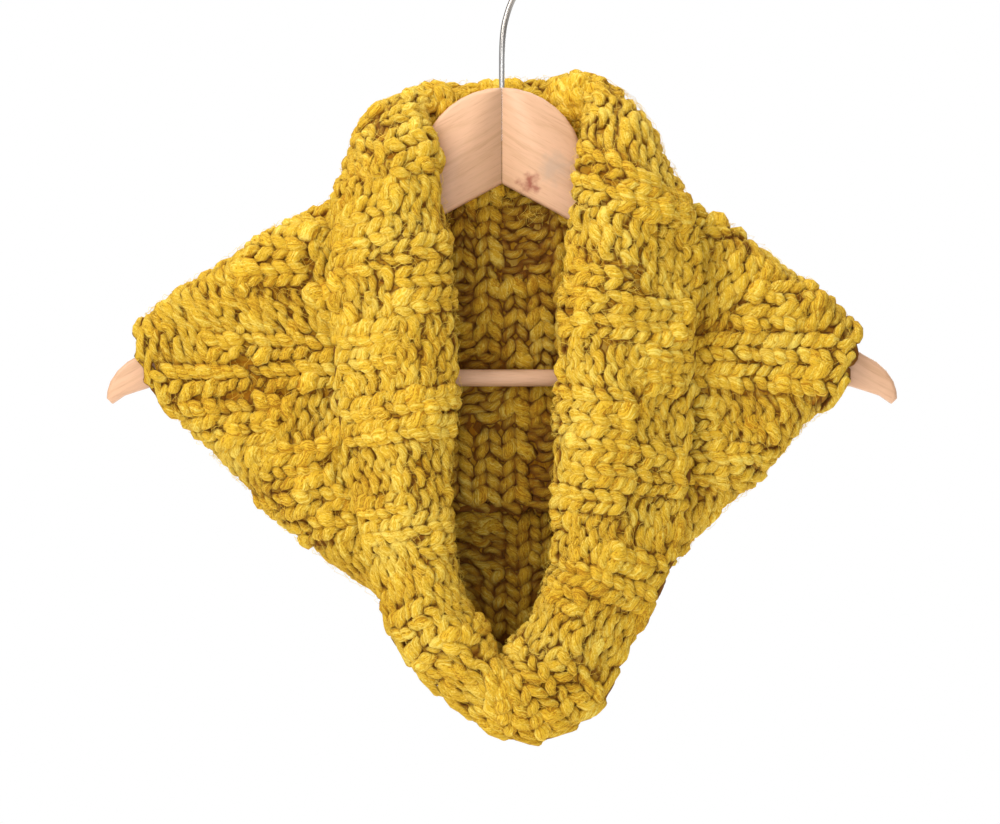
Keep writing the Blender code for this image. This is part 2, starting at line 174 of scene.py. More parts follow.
# How far behind the hanger's middle those places are, in millimetres, how thick the collar is rolled,
# and the way the roll faces in degrees, where 90 is to the back, 180 to the left and 270 to the front
Depth = namedtuple("Depth", "wale edge_y crest_y roll faces lay_y hem_y")
DEPTHS = (
    Depth(0.0, 38, 27, 25, 90, 14, 14),
    Depth(2.4, 35, 26, 25, 112, 13.5, 14),
    Depth(5.0, 12, 8, 19, 175, 12, 14),
    Depth(6.4, -6, -11, 21, 215, 0, 14),
    Depth(8.0, -25, -27, 25, 250, -8.5, 13.5),
    Depth(10.9, -27, -32, 27, 268, -13, 13.5),
    Depth(12.9, -27, -32, 27, 270, -13, 13.5),
    Depth(14.0, -27, -32, 27, 270, -14, 2),
    Depth(14.9, -27, -32, 27, 270, -14, -12),
    Depth(16.0, -27, -32, 27, 270, -14, -14),
    Depth(16.7, -27, -32, 27, 270, -14, -14),
    Depth(17.3, -27, -32, 27, 270, -14, -1),
    Depth(20.3, -28, -32, 27, 270, -15, 27),
    Depth(23.4, -30, -33, 26, 270, -17, 27),
    Depth(26.3, -33, -34, 25, 270, -18, 26),
    Depth(30.0, -36, -35, 24, 270, -18, 24),
)

# The yarn's way through half a stitch, from the middle of the sinker up one leg to the middle of the
# head: across in wale widths, along in rows, how far it lies to the front of its own stitch and of the
# stitch knitted into its head, as shares of the legs' rise, and how full it is there
Bend = namedtuple("Bend", "across along own next full")
HALF_STITCH = (
    Bend(-0.50, -0.80, -1.0, 0.0, 0.90),
    Bend(-0.28, -0.74, -0.75, 0.0, 0.86),
    Bend(-0.12, -0.42, 0.45, 0.0, 0.96),
    Bend(-0.21, 0.00, 1.0, 0.0, 1.16),
    Bend(-0.37, 0.36, 0.6, 0.0, 1.06),
    Bend(-0.27, 0.72, 0.0, -0.7, 0.88),
    Bend(0.00, 0.82, 0.0, -1.0, 0.92),
)
WHOLE_STITCH = [(bend, 1) for bend in HALF_STITCH] + [(bend, -1) for bend in HALF_STITCH[-2:0:-1]]

# The strand: its steps in each stitch and its corners, how flat it lies, and how far two sides of it bulge
SAMPLES = 17
SIDES = 8
FLATTENED = 0.93
LOBES = 0.10

# How uneven the hand is: wales between a row's changes of drift and the drift itself, and how much a
# stitch leans, grows, shifts, lifts and swells, as shares of a stitch, of the legs' rise or of the yarn
DRIFT_WALES = 6
DRIFT = 0.10
LEAN = 0.05
GROWTH = 0.07
SHIFT = 0.05
LIFT = 0.22
PLUMPNESS = 0.06

# How uneven the wool is: the steps and size of its long and short waves, the reach and size of a slub,
# the thinnest and thickest that it gets, and the metres of wool between the starts of two rows
LONG_WAVE = (40, 0.12)
SHORT_WAVE = (13, 0.07)
SLUB_REACH = (0.005, 0.010)
SLUB_SIZE = (0.25, 0.75)
THINNEST = 0.66
THICKEST = 1.8
ROW_OFFSET = 3.1

# The chains along both edges: steps in each wale, wales in a turn, how far inside the edge they lie, how
# far they swing across, along and off the wall, the steps and size of their drift, how full they are,
# how light painted shade leaves them at their sides, and how much lighter painted light makes them where
# they face out
CHAIN_STEPS = 12
CHAIN_TURN = 2
CHAIN_INSET = 0.05
CHAIN_ACROSS = 0.16
CHAIN_ALONG = 0.42
CHAIN_RISE = 2.0 * MM
CHAIN_DRIFT = (30, 0.08)
CHAIN_FULL = 0.82
CHAIN_SHADED_SIDES = 0.3
CHAIN_LIT_FACES = 0.6

# A loose fibre: its radius at each step, its corners, how many millimetres long it is, how much it curls,
# how far off the wall's middle it starts and how many millimetres it lifts from there. And how many there
# are on the wrong side for one on the right side.
STRAY_RADII = 0.095 * MM * np.array([1.0, 1.0, 0.85, 0.4])
STRAY_SIDES = 3
STRAY_REACH = (4, 11)
STRAY_CURL = 1.5
STRAY_START = 4.4 * MM
STRAY_LIFT = (0.3, 2.4)
STRAYS_WRONG_SIDE = 5 / 9

# What starts each series of random numbers
STITCH_SEED = 54
CHAIN_SEED = 7
STRAY_SEED = 23

# The rows over which the wrong side passes from the collar into the hollow, and how much painted shade
# darkens its wool there
HOLLOW_FROM = 11
HOLLOW_TO = 16
HOLLOW_PAINTED_SHADE = 0.40

# The ground of the knit, a dark sheet standing for the shade seen between the loops: how many rows it stops
# short of both edges, how thick it is, how much painted shade darkens its wool, and how the fibres lie
# across it
GROUND_INSET = 0.6
GROUND_WALL = 1.8 * MM
GROUND_PAINTED_SHADE = 0.44
GROUND_LAY = (0.9, 0.4)

# How big a stitch is, for what lies on the knit
WALE_WIDTH = 15 * MM
ROW_HEIGHT = 7.6 * MM

# The marks in the wood: where each is, how far it reaches, its colour and how strong it is
Mark = namedtuple("Mark", "centre size colour strength")
KNOT = Mark((15.8 * MM, 0, DOME_TOP - 54 * MM), 7.5 * MM, (0.30, 0.085, 0.045, 1.0), 1.0)
SWIRL = Mark((29.3 * MM, 0, DOME_TOP - 45 * MM), 13 * MM, (0.46, 0.32, 0.22, 1.0), 0.7)

# The stretch of wire above the wood that passes from bright to tarnished
TARNISH_FROM = DOME_TOP + 12 * MM
TARNISH_TO = DOME_TOP + 36 * MM

# The place that the camera looks at, the floor's size and glow, and the lights: where each is, how wide,
# how strong as a share of the key light, and its tint
VIEW_CENTRE = Vector((-0.0011, 0.0, DOME_TOP - 0.1827))
FLOOR_SIZE = 16
FLOOR_GLOW = 0.58
Light = namedtuple("Light", "name place size share tint")
LIGHTS = (
    Light("key_light", (-1.35, -1.2, 0.9), 1.4, 1.0, (1.0, 0.98, 0.94)),
    Light("fill_light", (-0.1, -1.9, -0.3), 0.8, 0.25, (1.0, 0.98, 0.96)),
    Light("top_light", (0.0, -0.05, 0.75), 1.2, 0.25, (1.0, 1.0, 1.0)),
    Light("back_light", (0.9, 1.7, 0.7), 1.4, 0.6, (1.0, 0.99, 0.97)),
)
WHITE = (1.0, 1.0, 1.0, 1.0)


def flip(row):
    """A row with its places on the other side of the seam."""
    changed = {name: -getattr(row, name) for name in row._fields if name.endswith("_x")}
    return row._replace(**changed)


def round_the_loop(rows, turn):
    """Rows in order round the loop, with one more beyond each end, moved on by a whole turn."""
    turned = {name: getattr(rows[1], name) + step for name, step in turn.items()}
    back = {name: getattr(rows[-2], name) - step for name, step in turn.items()}
    return [rows[-2]._replace(**back)] + list(rows) + [rows[1]._replace(**turned)]


def outline_rows():
    """The outline's rows from the bottom up the right side, over the back and down the left side."""
    left = [flip(row) for row in LEFT]
    right = [row._replace(wale=-row.wale) for row in reversed(RIGHT)]
    rows = [BOTTOM._replace(wale=-BOTTOM.wale)] + right + [BACK_CENTRE] + left + [BOTTOM]
    return round_the_loop(rows, {"wale": WALES})


def depth_rows():
    """The depths' rows in the same order, the same on both sides."""
    right = [row._replace(wale=-row.wale, faces=180 - row.faces) for row in reversed(DEPTHS[1:])]
    return round_the_loop(right + list(DEPTHS), {"wale": WALES, "faces": 360})


def read_between(rows, wale):
    """A table's columns at any wale, on smooth curves through its rows."""
    index = 1
    while index < len(rows) - 3 and wale > rows[index + 1].wale:
        index += 1
    before, start, end, after = (np.array(row) for row in rows[index - 1 : index + 3])
    span = end[0] - start[0]
    t = (wale - start[0]) / span
    leaving = (end - before) / (end[0] - before[0]) * span
    arriving = (after - start) / (after[0] - start[0]) * span
    smooth = start + (end - start) * t * t * (3 - 2 * t)
    return (smooth + leaving * t * (1 - t) ** 2 - arriving * t * t * (1 - t))[1:]


def wale_corners(wale, outline, depths):
    """The eight places that a wale runs through, from the neck edge to the hem, in millimetres."""
    edge_x, edge_z, crest_x, crest_z, turn_x, turn_z, hem_x, hem_z = read_between(outline, wale)
    edge_y, crest_y, roll, faces, lay_y, hem_y = read_between(depths, wale)
    outward = Vector((cos(radians(faces)), sin(radians(faces)), 0)) * roll / 2
    edge = Vector((edge_x, edge_y, edge_z))
    crest = Vector((crest_x, crest_y, crest_z))
    turn = Vector((turn_x, (lay_y + hem_y) / 2, turn_z))
    hem = Vector((hem_x, hem_y, hem_z))

    swell = crest.lerp(edge, SWELL_ALONG) + outward
    swell.y = crest.y + outward.y
    tuck = crest.lerp(turn, TUCK_ALONG) - outward
    tuck.y = crest.y - outward.y

    reach = max(abs(hem_y - lay_y) / 2 * FOLD_REACH, LEAST_REACH)
    arriving = Vector((tuck.x - turn.x, 0, tuck.z - turn.z))
    leaving = Vector((hem.x - turn.x, 0, hem.z - turn.z))
    before = turn + arriving.normalized() * min(reach, arriving.length * MOST_REACH)
    before.y = lay_y
    after = turn + leaving.normalized() * min(reach, leaving.length * MOST_REACH)
    after.y = hem_y
    return np.array([edge, swell, crest, tuck, before, turn, after, hem])


def smooth_line(corners):
    """Close points on a smooth line through the corners."""
    padded = np.vstack([2 * corners[0] - corners[1], corners, 2 * corners[-1] - corners[-2]])
    t = np.arange(CURVE_STEPS)[:, None] / CURVE_STEPS
    points = []
    for before, start, end, after in zip(padded, padded[1:], padded[2:], padded[3:]):
        span = np.linalg.norm(end - start)
        leaving = (end - before) / (np.linalg.norm(start - before) + span) * span
        arriving = (after - start) / (np.linalg.norm(after - end) + span) * span
        smooth = start + (end - start) * t * t * (3 - 2 * t)
        points.append(smooth + leaving * t * (1 - t) ** 2 - arriving * t * t * (1 - t))
    return np.vstack(points + [corners[-1:]])


def even_points(line, count):
    """Points at even spacing along a line, with its ends kept."""
    lengths = np.concatenate([[0], np.cumsum(np.linalg.norm(np.diff(line, axis=0), axis=1))])
    places = np.linspace(0, lengths[-1], count + 1)
    return np.stack([np.interp(places, lengths, line[:, axis]) for axis in range(3)], axis=1)


def unit(vectors):
    """Vectors at a length of one."""
    return vectors / np.maximum(np.linalg.norm(vectors, axis=-1, keepdims=True), 1e-9)


class Cloth:
    """The middle of the knitted wall: a place for every wale and row, and the way its right side faces."""

    def __init__(self):
        outline, depths = outline_rows(), depth_rows()
        lines = []
        for step in range(WALES * FINE):
            wale = -WALES / 2 + step / FINE
            lines.append(even_points(smooth_line(wale_corners(wale, outline, depths)), ROWS * FINE))
        self.points = np.array(lines) * MM + np.array([0, 0, DOME_TOP])
        count = ROWS * FINE
        steps = np.arange(count + 1)
        high = np.minimum(steps + FINE // 2, count)
        low = np.maximum(steps - FINE // 2, 0)
        along = self.points[:, high] - self.points[:, low]
        across = np.roll(self.points, -1, axis=0) - np.roll(self.points, 1, axis=0)
        self.faces = unit(np.cross(along, across))

    def at(self, wale, row, rise):
        """Points at these wales and rows, raised by these metres off the wall's middle."""
        column = (wale + WALES / 2) % WALES * FINE
        first = np.floor(column).astype(int) % (WALES * FINE)
        second = (first + 1) % (WALES * FINE)
        across = (column - np.floor(column))[..., None]
        inside = np.clip(row, 0, ROWS) * FINE
        upper = np.minimum(np.floor(inside).astype(int), ROWS * FINE - 1)
        down = (inside - upper)[..., None]

        def blend(grid):
            start = grid[first, upper] * (1 - down) + grid[first, upper + 1] * down
            end = grid[second, upper] * (1 - down) + grid[second, upper + 1] * down
            return start * (1 - across) + end * across

        faces = unit(blend(self.faces))
        over = (row - np.clip(row, 0, ROWS))[..., None] * FINE
        slope = self.points[first, upper + 1] - self.points[first, upper]
        return blend(self.points) + slope * over + faces * rise[..., None], faces


def chart_side(wale, row):
    """1 where a stitch is knitted and -1 where it is purled, as the cowl's right side shows it."""
    knitted = np.array([[1.0 if mark == "k" else -1.0 for mark in line] for line in CHART])
    band = np.clip(np.floor(row / BAND_ROWS).astype(int), 0, len(CHART) - 1)
    return knitted[band, (np.floor(wale).astype(int) - FIRST_WALE) % WALES]


def block_swell(wale, row):
    """How far the basket blocks swell to the right side, from -1 to 1, smoothly over each block."""
    inside = np.clip(row, 0, ROWS - 0.01)
    share = np.mod(wale - 0.5, 1.0)
    across = chart_side(wale - 0.5, inside) * (1 - share) + chart_side(wale + 0.5, inside) * share
    return across * np.sqrt(np.abs(np.sin(np.pi * inside / BAND_ROWS)))


def round_spline(points, count):
    """A smooth line once round the tube through points, as this many steps."""
    round_once = np.zeros(points.shape[1])
    round_once[0] = WALES
    padded = np.vstack([points[-1:] - round_once, points, points[:3] + round_once])
    places = np.arange(count + 1) / count * len(points)
    first = np.minimum(np.floor(places).astype(int), len(points))
    t = (places - first)[:, None]
    before, start, end, after = (padded[first + step] for step in range(4))
    return 0.5 * (
        2 * start
        + (end - before) * t
        + (2 * before - 5 * start + 4 * end - after) * t * t
        + (3 * start - before - 3 * end + after) * t**3
    )


def wander(rng, count, spacing, size):
    """A slowly changing row of numbers round a closed loop, this many steps apart, of about this size."""
    knots = max(int(round(count / spacing)), 3)
    values = rng.normal(0, size, knots)
    places = np.arange(count) / count * knots
    first = np.floor(places).astype(int)
    t = places - first
    t = t * t * (3 - 2 * t)
    return values[first % knots] * (1 - t) + values[(first + 1) % knots] * t


def stitch_line(row, rng, knit):
    """One round of stitches from the right cut: wale, row, rise and fullness at each step of the yarn."""
    wales = np.arange(WALES) + FIRST_WALE + 0.5
    side = chart_side(wales, np.full(WALES, row))
    above = chart_side(wales, np.full(WALES, min(row + 1, ROWS - 1)))
    jog = knit.unevenness
    drift = wander(rng, WALES, DRIFT_WALES, DRIFT * jog)
    lean = rng.normal(0, LEAN * jog, WALES)
    controls = []
    for stitch in range(WALES):
        size = 1 + rng.normal(0, GROWTH) * jog
        shift = rng.normal(0, SHIFT, 2) * jog
        lift = rng.normal(0, LIFT) * jog
        plump = 1 + rng.normal(0, PLUMPNESS) * jog
        for bend, turn in WHOLE_STITCH:
            depth = side[stitch] * bend.own + above[stitch] * bend.next
            if bend is HALF_STITCH[0]:
                depth = (side[stitch] + side[stitch - 1]) / 2 * bend.own
            controls.append(
                (
                    wales[stitch] + turn * bend.across * size + shift[0] + lean[stitch] * bend.along,
                    row + 0.5 + bend.along * size + shift[1] + drift[stitch],
                    depth + lift,
                    bend.full * plump,
                )
            )
    return round_spline(np.array(controls), SAMPLES * WALES)


def yarn_radius(length, rng, knit):
    """The yarn's radius along its length: thick and thin, with a fat slub here and there."""
    count = len(length)
    radius = 1 + wander(rng, count, *LONG_WAVE) + wander(rng, count, *SHORT_WAVE)
    for _ in range(rng.poisson(length[-1] / knit.slub_every)):
        middle = rng.uniform(0, length[-1])
        reach = rng.uniform(*SLUB_REACH)
        radius += rng.uniform(*SLUB_SIZE) * np.exp(-(((length - middle) / reach) ** 2))
    return knit.yarn_thickness / 2 * np.clip(radius, THINNEST, THICKEST)


def length_along(points):
    """How much yarn there is from a line's start to each of its points."""
    return np.concatenate([[0], np.cumsum(np.linalg.norm(np.diff(points, axis=0), axis=1))])


def wind(points, faces, radius, twist, length):
    """Rings of vertices round a strand, their places on the twisted yarn, and how far out they are."""
    along = unit(np.gradient(points, axis=0))
    out = unit(faces - (faces * along).sum(1, keepdims=True) * along)
    beside = np.cross(along, out)
    angle = np.arange(SIDES) / SIDES * 2 * np.pi
    turned = angle[None, :] + 2 * np.pi * length[:, None] / twist
    full = radius[:, None] * (1 + LOBES * np.cos(2 * turned))
    up = np.cos(angle)[None, :, None] * out[:, None] * FLATTENED
    level = np.sin(angle)[None, :, None] * beside[:, None]
    rings = points[:, None] + (up + level) * full[:, :, None]
    spun = np.stack([np.cos(turned), np.sin(turned), np.repeat(length[:, None], SIDES, 1)], axis=2)
    return rings, spun, full * np.cos(angle)[None]


def knit_piece(name, vertices, faces, spun, tone, surface):
    """One piece of the knit, with each vertex's place on the yarn and how much painted shade darkens its
    wool.
    """
    mesh = bpy.data.meshes.new(name)
    mesh.from_pydata(vertices.tolist(), [], faces)
    places = mesh.attributes.new("spun", "FLOAT_VECTOR", "POINT")
    places.data.foreach_set("vector", spun.astype(np.float32).ravel())
    painted_light_values = mesh.attributes.new("tone", "FLOAT", "POINT")
    painted_light_values.data.foreach_set("value", tone.astype(np.float32))
    mesh.polygons.foreach_set("use_smooth", [True] * len(mesh.polygons))
    mesh.materials.append(surface)
    piece = bpy.data.objects.new(name, mesh)
    bpy.context.collection.objects.link(piece)
    return piece


class Strands:
    """Vertices, faces, yarn places and painted shade levels gathered for one piece."""

    def __init__(self):
        self.vertices, self.faces, self.spun, self.tone = [], [], [], []
        self.count = 0

    def add(self, rings, spun, tone):
        """Add one open strand with closed ends."""
        number, sides = rings.shape[:2]
        start = self.count
        ring = np.arange(number - 1)[:, None] * sides + np.arange(sides)[None] + start
        beside = np.arange(number - 1)[:, None] * sides + (np.arange(sides)[None] + 1) % sides + start
        quads = np.stack([ring, beside, beside + sides, ring + sides], axis=2).reshape(-1, 4)
        self.faces += quads.tolist()
        self.faces.append([start + side for side in reversed(range(sides))])
        last = start + (number - 1) * sides
        self.faces.append([last + side for side in range(sides)])
        self.vertices.append(rings.reshape(-1, 3))
        self.spun.append(spun.reshape(-1, 3))
        self.tone.append(tone.reshape(-1))
        self.count += number * sides

    def piece(self, name, surface):
        """The gathered strands as one object."""
        vertices, spun = np.vstack(self.vertices), np.vstack(self.spun)
        return knit_piece(name, vertices, self.faces, spun, np.concatenate(self.tone), surface)


def new_surface(name):
    """A new material with its node tree and shader, and a helper that adds a node to it."""
    made = bpy.data.materials.new(name)
    made.use_nodes = True
    tree = made.node_tree
    shader = tree.nodes["Principled BSDF"]

    def node(kind, inputs=None, **values):
        added = tree.nodes.new(kind)
        for key, value in values.items():
            setattr(added, key, value)
        for socket, source in (inputs or {}).items():
            if isinstance(source, bpy.types.NodeSocket):
                tree.links.new(source, added.inputs[socket])
            else:
                added.inputs[socket].default_value = source
        return added

    return made, tree, shader, node


def set_inputs(shader, values):
    """Set a shader's own sockets."""
    for socket, value in values.items():
        shader.inputs[socket].default_value = value


def stretched(node, place, scale):
    """Places stretched by a scale along each axis."""
    return node("ShaderNodeMapping", {"Vector": place, "Scale": scale}).outputs["Vector"]


def noise(node, place, scale, detail=2.0, roughness=0.5, distortion=0.0):
    """A cloudy pattern over these places."""
    inputs = {"Vector": place, "Scale": scale, "Detail": detail}
    inputs.update({"Roughness": roughness, "Distortion": distortion})
    return node("ShaderNodeTexNoise", inputs)


def mixed(node, share, first, second, **values):
    """Two colours mixed by a share."""
    inputs = {0: share, 6: first, 7: second}
    return node("ShaderNodeMix", inputs, data_type="RGBA", **values).outputs[2]


def faded(node, value, start, end, low=0.0, high=1.0):
    """A value carried softly from one range to another."""
    inputs = {"Value": value, "From Min": start, "From Max": end, "To Min": low, "To Max": high}
    return node("ShaderNodeMapRange", inputs, interpolation_type="SMOOTHSTEP").outputs["Result"]


def cover(tree, shader, node, colour, height, strength, distance):
    """Join a colour and a relief to the shader."""
    tree.links.new(colour, shader.inputs["Base Color"])
    relief = {"Height": height, "Strength": strength, "Distance": distance}
    tree.links.new(node("ShaderNodeBump", relief).outputs["Normal"], shader.inputs["Normal"])


def ramp(node, source, stops):
    """A colour ramp through (place, colour) stops."""
    added = node("ShaderNodeValToRGB", {"Fac": source})
    elements = added.color_ramp.elements
    while len(elements) < len(stops):
        elements.new(0.5)
    for element, (place, colour) in zip(elements, stops):
        element.position = place
        element.color = (*colour, 1.0)
    return added.outputs["Color"]


def wool(name, knit, tips=False):
    """Thick-and-thin wool: twisted streaks of fibre, uneven dye and painted shade in the crevices."""
    made, tree, shader, node = new_surface(name)
    spun = node("ShaderNodeAttribute", attribute_name="spun").outputs["Vector"]
    tone = node("ShaderNodeAttribute", attribute_name="tone").outputs["Fac"]
    place = node("ShaderNodeTexCoord").outputs["Object"]
    fine = stretched(node, spun, (5.2, 5.2, 150.0))
    strands = noise(node, fine, 1.0, detail=3.0, roughness=0.6, distortion=0.3).outputs["Fac"]
    broad = stretched(node, spun, (1.5, 1.5, 42.0))
    rovings = noise(node, broad, 1.0).outputs["Fac"]
    dye = noise(node, place, 30.0, detail=3.0).outputs["Fac"]
    body = node("ShaderNodeMath", {0: strands, 1: 0.5}, operation="MULTIPLY").outputs[0]
    for pattern, share in ((rovings, 0.3), (dye, 0.2)):
        body = node("ShaderNodeMath", {0: pattern, 1: share, 2: body}, operation="MULTIPLY_ADD").outputs[0]
    # the streak ramp is random fibre tone; because the relief below uses the same pattern, its dark stops
    # also paint shade into the relief's grooves
    stops = [(0.41, knit.light), (0.55, knit.pale)]
    if not tips:
        stops = [(0.42, knit.dark), (0.475, knit.light), (0.52, knit.light), (0.58, knit.pale)]
    colour = ramp(node, body, stops)
    # painted shade: wool that lies deep in the knit, by the attribute read above, is mixed towards the
    # shade colour
    depth = faded(node, tone, 0.26, 0.8)
    shaded_colour = mixed(node, depth, (*knit.shade, 1.0), colour)
    cover(tree, shader, node, shaded_colour, body, 1.0, 3.6 * MM)
    set_inputs(shader, {"Roughness": 0.92, "Specular IOR Level": 0.1})
    set_inputs(shader, {"Sheen Weight": 0.1, "Sheen Roughness": 0.55, "Sheen Tint": (1.0, 0.82, 0.38, 1.0)})
    return made


def spot(node, place, mark):
    """A mark's strength at its place on the front and back of the wood, fading to 0 round it."""
    flat = node("ShaderNodeVectorMath", {0: place, 1: (1.0, 0.0, 1.0)}, operation="MULTIPLY").outputs[0]
    away = node("ShaderNodeVectorMath", {0: flat, 1: mark.centre}, operation="DISTANCE").outputs["Value"]
    share = faded(node, away, 0.0, mark.size, low=1.0, high=0.0)
    return node("ShaderNodeMath", {0: share, 1: mark.strength}, operation="MULTIPLY").outputs[0]


def wood(name, pale, grain, slope):
    """Pale wood: fine pores, growth lines that run down both arms, a reddish knot and a grey swirl."""
    made, tree, shader, node = new_surface(name)
    place = node("ShaderNodeTexCoord").outputs["Object"]
    split = node("ShaderNodeSeparateXYZ", {0: place}).outputs
    across = node("ShaderNodeMath", {0: split["X"]}, operation="ABSOLUTE").outputs[0]
    mirrored = node("ShaderNodeCombineXYZ", {0: across, 1: split["Y"], 2: split["Z"]}).outputs[0]
    turned = node("ShaderNodeMapping", {"Vector": mirrored, "Rotation": (0, slope, 0)}).outputs["Vector"]
    warp = noise(node, turned, 14.0).outputs["Color"]
    bent = node("ShaderNodeMix", {0: 0.012, 4: turned, 5: warp}, data_type="VECTOR").outputs[1]
    lines = stretched(node, bent, (5.0, 150.0, 230.0))
    growth = noise(node, lines, 1.4, detail=5.0, roughness=0.55).outputs["Fac"]
    palest = tuple(c * 1.04 for c in pale)
    body = ramp(node, growth, [(0.34, grain), (0.46, pale), (0.62, palest)])
    pores = noise(node, stretched(node, turned, (90.0, 1100.0, 1500.0)), 1.0).outputs["Fac"]
    specks = ramp(node, pores, [(0.30, (0.84, 0.78, 0.74)), (0.46, (1.0, 1.0, 1.0))])
    body = mixed(node, 0.6, body, specks, blend_type="MULTIPLY")
    ragged = noise(node, place, 190.0, detail=3.0).outputs["Color"]
    ragged = node("ShaderNodeVectorMath", {0: ragged, 1: (-0.5, -0.5, -0.5)}, operation="ADD").outputs[0]
    spread = {0: ragged, 1: (16 * MM, 0.0, 16 * MM), 2: place}
    marked = node("ShaderNodeVectorMath", spread, operation="MULTIPLY_ADD").outputs[0]
    for mark in (KNOT, SWIRL):
        body = mixed(node, spot(node, marked, mark), body, mark.colour)
    cover(tree, shader, node, body, pores, 0.12, 0.3 * MM)
    set_inputs(shader, {"Roughness": 0.5, "Coat Weight": 0.12, "Coat Roughness": 0.4})
    return made


def wire_chrome(name):
    """Bright plated wire with a faint drawn grain, tarnished a little above the wood."""
    made, tree, shader, node = new_surface(name)
    place = node("ShaderNodeTexCoord").outputs["Object"]
    drawn = noise(node, stretched(node, place, (900.0, 900.0, 60.0)), 1.0).outputs["Fac"]
    bright = ramp(node, drawn, [(0.3, (0.56, 0.55, 0.55)), (0.7, (0.74, 0.73, 0.72))])
    height = node("ShaderNodeSeparateXYZ", {0: place}).outputs["Z"]
    tarnish = faded(node, height, TARNISH_FROM, TARNISH_TO, high=0.75)
    colour = mixed(node, tarnish, bright, (0.34, 0.30, 0.26, 1.0))
    cover(tree, shader, node, colour, drawn, 0.05, 0.1 * MM)
    set_inputs(shader, {"Metallic": 1.0, "Roughness": 0.22})
    return made


def select_only(item):
    """Select one object and nothing else."""
    bpy.ops.object.select_all(action="DESELECT")
    item.select_set(True)
    bpy.context.view_layer.objects.active = item


class CowlKnit(bpy.types.PropertyGroup):
    """Sizes and colours of the knit"""

    yarn_thickness: FloatProperty(
        name="Yarn thickness",
        description="Across the wool where it is neither thick nor thin",
        default=6.25 * MM,
        unit="LENGTH",
    )
    leg_rise: FloatProperty(
        name="Leg rise",
        description="How far a stitch's legs stand in front of the wall's middle",
        default=2.2 * MM,
        unit="LENGTH",
    )
    block_swell: FloatProperty(
        name="Block swell",
        description="How far the basket blocks swell out",
        default=1.2 * MM,
        unit="LENGTH",
    )
    unevenness: FloatProperty(
        name="Unevenness",
        description="How much the stitches differ from each other",
        default=1.05,
        min=0,
        max=3,
    )
    slub_every: FloatProperty(
        name="Slub every",
        description="Length of wool between its fat places",
        default=0.15,
        unit="LENGTH",
    )
    twist: FloatProperty(
        name="Twist",
        description="Length of wool in which its fibres turn once",
        default=26 * MM,
        unit="LENGTH",
    )
    strays: IntProperty(
        name="Stray fibres",
        description="Loose fibres on the right side",
        default=9000,
        min=0,
    )
    pale: FloatVectorProperty(
        name="Pale wool",
        description="The palest bundles of fibre",
        subtype="COLOR",
        default=(1.0, 0.76, 0.14),
    )
    light: FloatVectorProperty(
        name="Light wool",
        description="Most of the wool",
        subtype="COLOR",
        default=(0.82, 0.495, 0.03),
    )
    dark: FloatVectorProperty(
        name="Dark wool",
        description="Between the bundles of fibre, partly painted shade in the grooves",
        subtype="COLOR",
        default=(0.52, 0.235, 0.009),
    )
    # the colour of the painted shade on wool deep inside the stitches
    shade: FloatVectorProperty(
        name="Painted shade",
        description="Painted shade on the wool deep inside the stitches",
        subtype="COLOR",
        default=(0.23, 0.075, 0.003),
    )


class CowlHanger(bpy.types.PropertyGroup):
    """Colours of the wood and the way its grain runs"""

    pale: FloatVectorProperty(
        name="Pale wood",
        description="Wood between the grain lines",
        subtype="COLOR",
        default=(0.655, 0.385, 0.23),
    )
    grain: FloatVectorProperty(
        name="Grain",
        description="The grain lines",
        subtype="COLOR",
        default=(0.59, 0.34, 0.19),
    )
    arm_slope: FloatProperty(
        name="Arm slope",
        description="How steeply the arms fall",
        subtype="ANGLE",
        unit="ROTATION",
        default=radians(30),
    )


class CowlStage(bpy.types.PropertyGroup):
    """The floor, the lights and the camera's place"""

    floor: FloatVectorProperty(
        name="Floor",
        description="Colour of the floor",
        subtype="COLOR",
        default=(0.95, 0.95, 0.95),
    )
    drop: FloatProperty(
        name="Drop",
        description="From the cowl's lowest point to the floor",
        default=1.2,
        unit="LENGTH",
    )
    distance: FloatProperty(
        name="Camera distance",
        description="From the camera to the hanger",
        default=2.6,
        unit="LENGTH",
    )
    view_width: FloatProperty(
        name="View width",
        description="How wide the picture is at the hanger",
        default=0.564,
        unit="LENGTH",
    )
    key_power: FloatProperty(
        name="Key light",
        description="Power of the main light",
        default=35.0,
        unit="POWER",
    )
    sky: FloatProperty(
        name="Sky",
        description="Strength of the even light all round",
        default=0.40,
        min=0,
    )


class CowlGround(bpy.types.Operator):
    """Make the ground of the knit, the thin inner wall that the loops stand on, a dark sheet that stands
    for the shade seen between the loops
    """

    bl_idname = "cowl.ground"
    bl_label = "Ground of the knit"

    def execute(self, context):
        knit = context.scene.cowl_knit
        wales = np.arange(WALES * 2) / 2 - WALES / 2
        rows = np.linspace(GROUND_INSET, ROWS - GROUND_INSET, ROWS * 2)
        wale, row = np.meshgrid(wales, rows, indexing="ij")
        points, _ = Cloth().at(wale, row, block_swell(wale, row) * knit.block_swell)
        across, down = points.shape[:2]
        column, step = np.meshgrid(np.arange(across), np.arange(down - 1), indexing="ij")
        near = (column * down + step).ravel()
        far = ((column + 1) % across * down + step).ravel()
        faces = np.stack([near, near + 1, far + 1, far], axis=1).tolist()
        lain = np.stack([wale * GROUND_LAY[0], wale * GROUND_LAY[1], row * ROW_HEIGHT], axis=2)
        # painted shade: the ground's wool is held dark so that the gaps between the loops read as shade
        tone = np.full(points.shape[:2], GROUND_PAINTED_SHADE).ravel()
        surface = wool("ground_shade_wool", knit)
        ground = knit_piece("knit_ground_shade", points.reshape(-1, 3), faces, lain, tone, surface)
        select_only(ground)
        wall = ground.modifiers.new("wall", "SOLIDIFY")
        wall.thickness = GROUND_WALL
        wall.offset = 0
        bpy.ops.object.modifier_apply(modifier="wall")
        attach(ground, "root")
        return {"FINISHED"}


